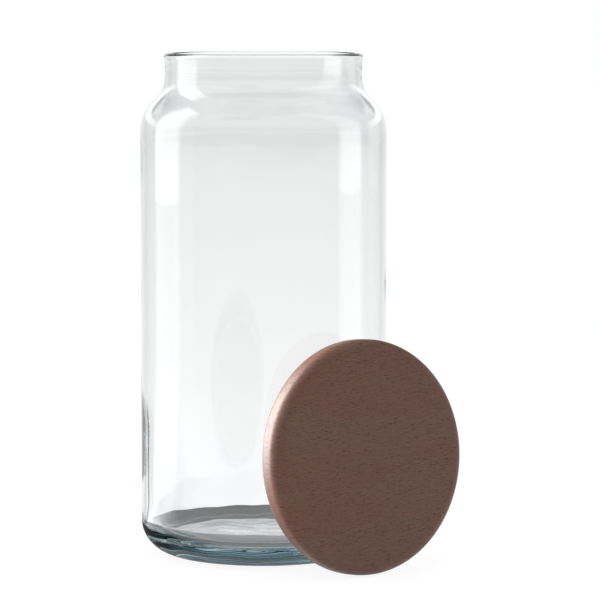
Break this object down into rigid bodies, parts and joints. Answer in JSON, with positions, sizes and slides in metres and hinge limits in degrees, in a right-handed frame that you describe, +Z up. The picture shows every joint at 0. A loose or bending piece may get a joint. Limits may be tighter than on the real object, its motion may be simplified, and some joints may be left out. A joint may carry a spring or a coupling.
{
  "type": "storage jar",
  "caption": "Straight-sided clear glass storage jar with a short neck, and its round brown wooden lid with a plug and a soft seal, taken off and leaning on the jar's side.",
  "frame": {"origin": "middle of the ground that the jar and the leaning lid cover together; the jar's axis is the line X = 0, Y = 0.0137 m", "axes": "+Z up along the jar's axis; -Y towards the side of the jar that the lid leans on; +X to the right of someone who faces that side"},
  "size_m": [0.105, 0.1324, 0.2144],
  "materials": {
    "clear_glass": "clear, fire-polished, with a faint green-blue tint where the glass is thick",
    "brown_beech": "brown stain with a thin matt oil, the grain's short dark pores left open",
    "milky_silicone": "matt, slightly see-through"
  },
  "bodies": {
    "jar": {"glass_jar": "clear_glass"},
    "lid": {"wooden_lid": "brown_beech", "silicone_seal": "milky_silicone"}
  },
  "joints": [
    {"name": "lid_lift", "type": "slide", "parent": "jar", "child": "lid", "axis": [0, 0, 1], "range_m": [0, 0.24]}
  ]
}
